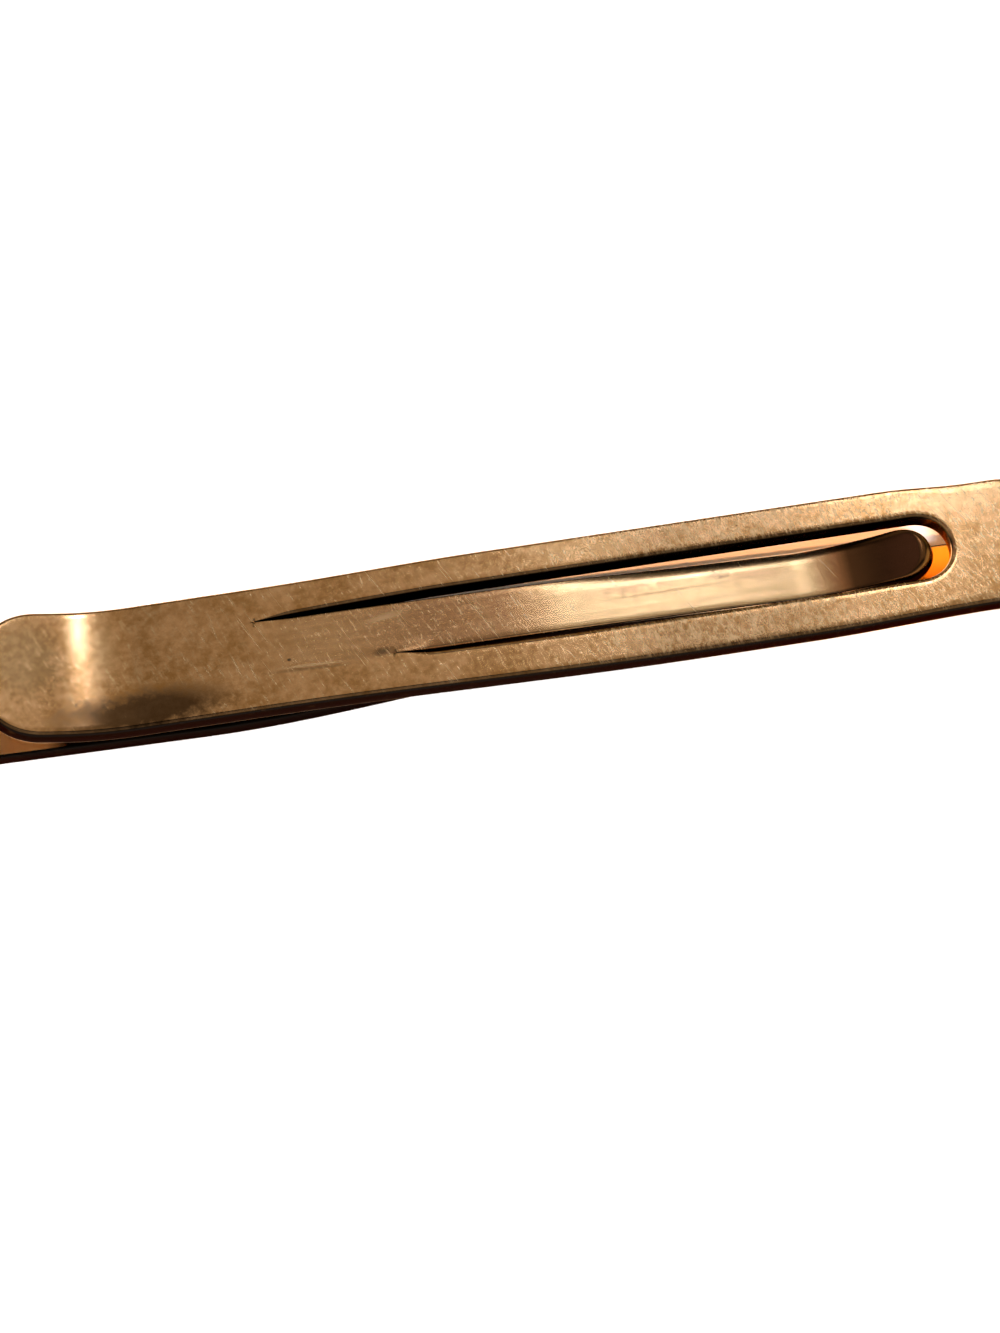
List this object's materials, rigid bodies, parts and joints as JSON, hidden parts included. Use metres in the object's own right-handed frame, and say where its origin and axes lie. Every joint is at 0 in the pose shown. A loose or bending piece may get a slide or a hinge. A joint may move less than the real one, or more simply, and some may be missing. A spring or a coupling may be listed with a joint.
{
  "type": "tie bar",
  "caption": "One-piece brass tie bar: a strip folded double, with a flared back arm and a lanced spring tongue that grip the tie.",
  "frame": {"origin": "middle of the bar's box, on the front bar's outer face, which it lies on", "axes": "+X along the bar from the open mouth to the fold, +Y across it, +Z from the front bar towards the back arm"},
  "size_m": [0.06, 0.0074, 0.0043],
  "materials": {
    "gilt_brass": "worn satin"
  },
  "bodies": {
    "root": {"tie_bar": "gilt_brass"}
  },
  "joints": []
}
